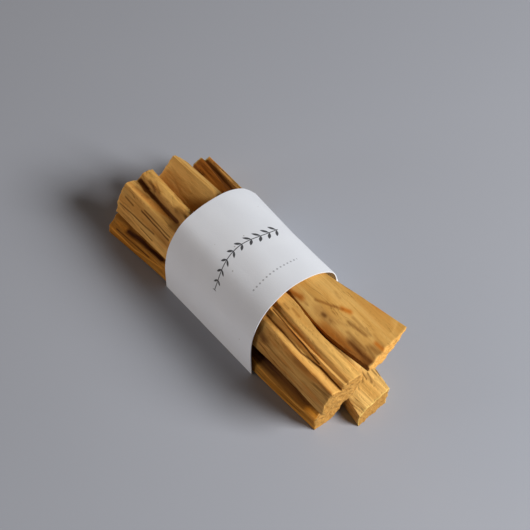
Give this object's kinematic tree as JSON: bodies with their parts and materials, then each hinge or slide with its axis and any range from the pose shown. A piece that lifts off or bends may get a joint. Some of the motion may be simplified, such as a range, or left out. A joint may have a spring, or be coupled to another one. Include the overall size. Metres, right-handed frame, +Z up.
{
  "type": "palo santo stick bundle",
  "caption": "Bundle of split palo santo incense sticks lying on its side, held together by a plain wrapped paper band.",
  "frame": {"origin": "middle of the footprint's bounding box, on the surface the bundle lies on", "axes": "+X along the sticks towards the ends where the band leaves more wood bare, +Y to the right seen from those ends, +Z up"},
  "size_m": [0.105, 0.0398, 0.0313],
  "materials": {
    "umber_wood": "raw split heartwood, dark red-brown with orange streaks",
    "golden_wood": "raw split wood, golden with dark resin grooves",
    "pale_wood": "raw split sapwood, pale tan with wavy brown figure",
    "amber_wood": "raw split wood, amber with torn fibres",
    "white_paper": "uncoated off-white wrapping paper, matte"
  },
  "bodies": {
    "root": {"stick_low_left": "umber_wood", "stick_top_left": "golden_wood", "stick_top_right": "pale_wood", "stick_low_right": "amber_wood", "paper_band": "white_paper"}
  },
  "joints": []
}
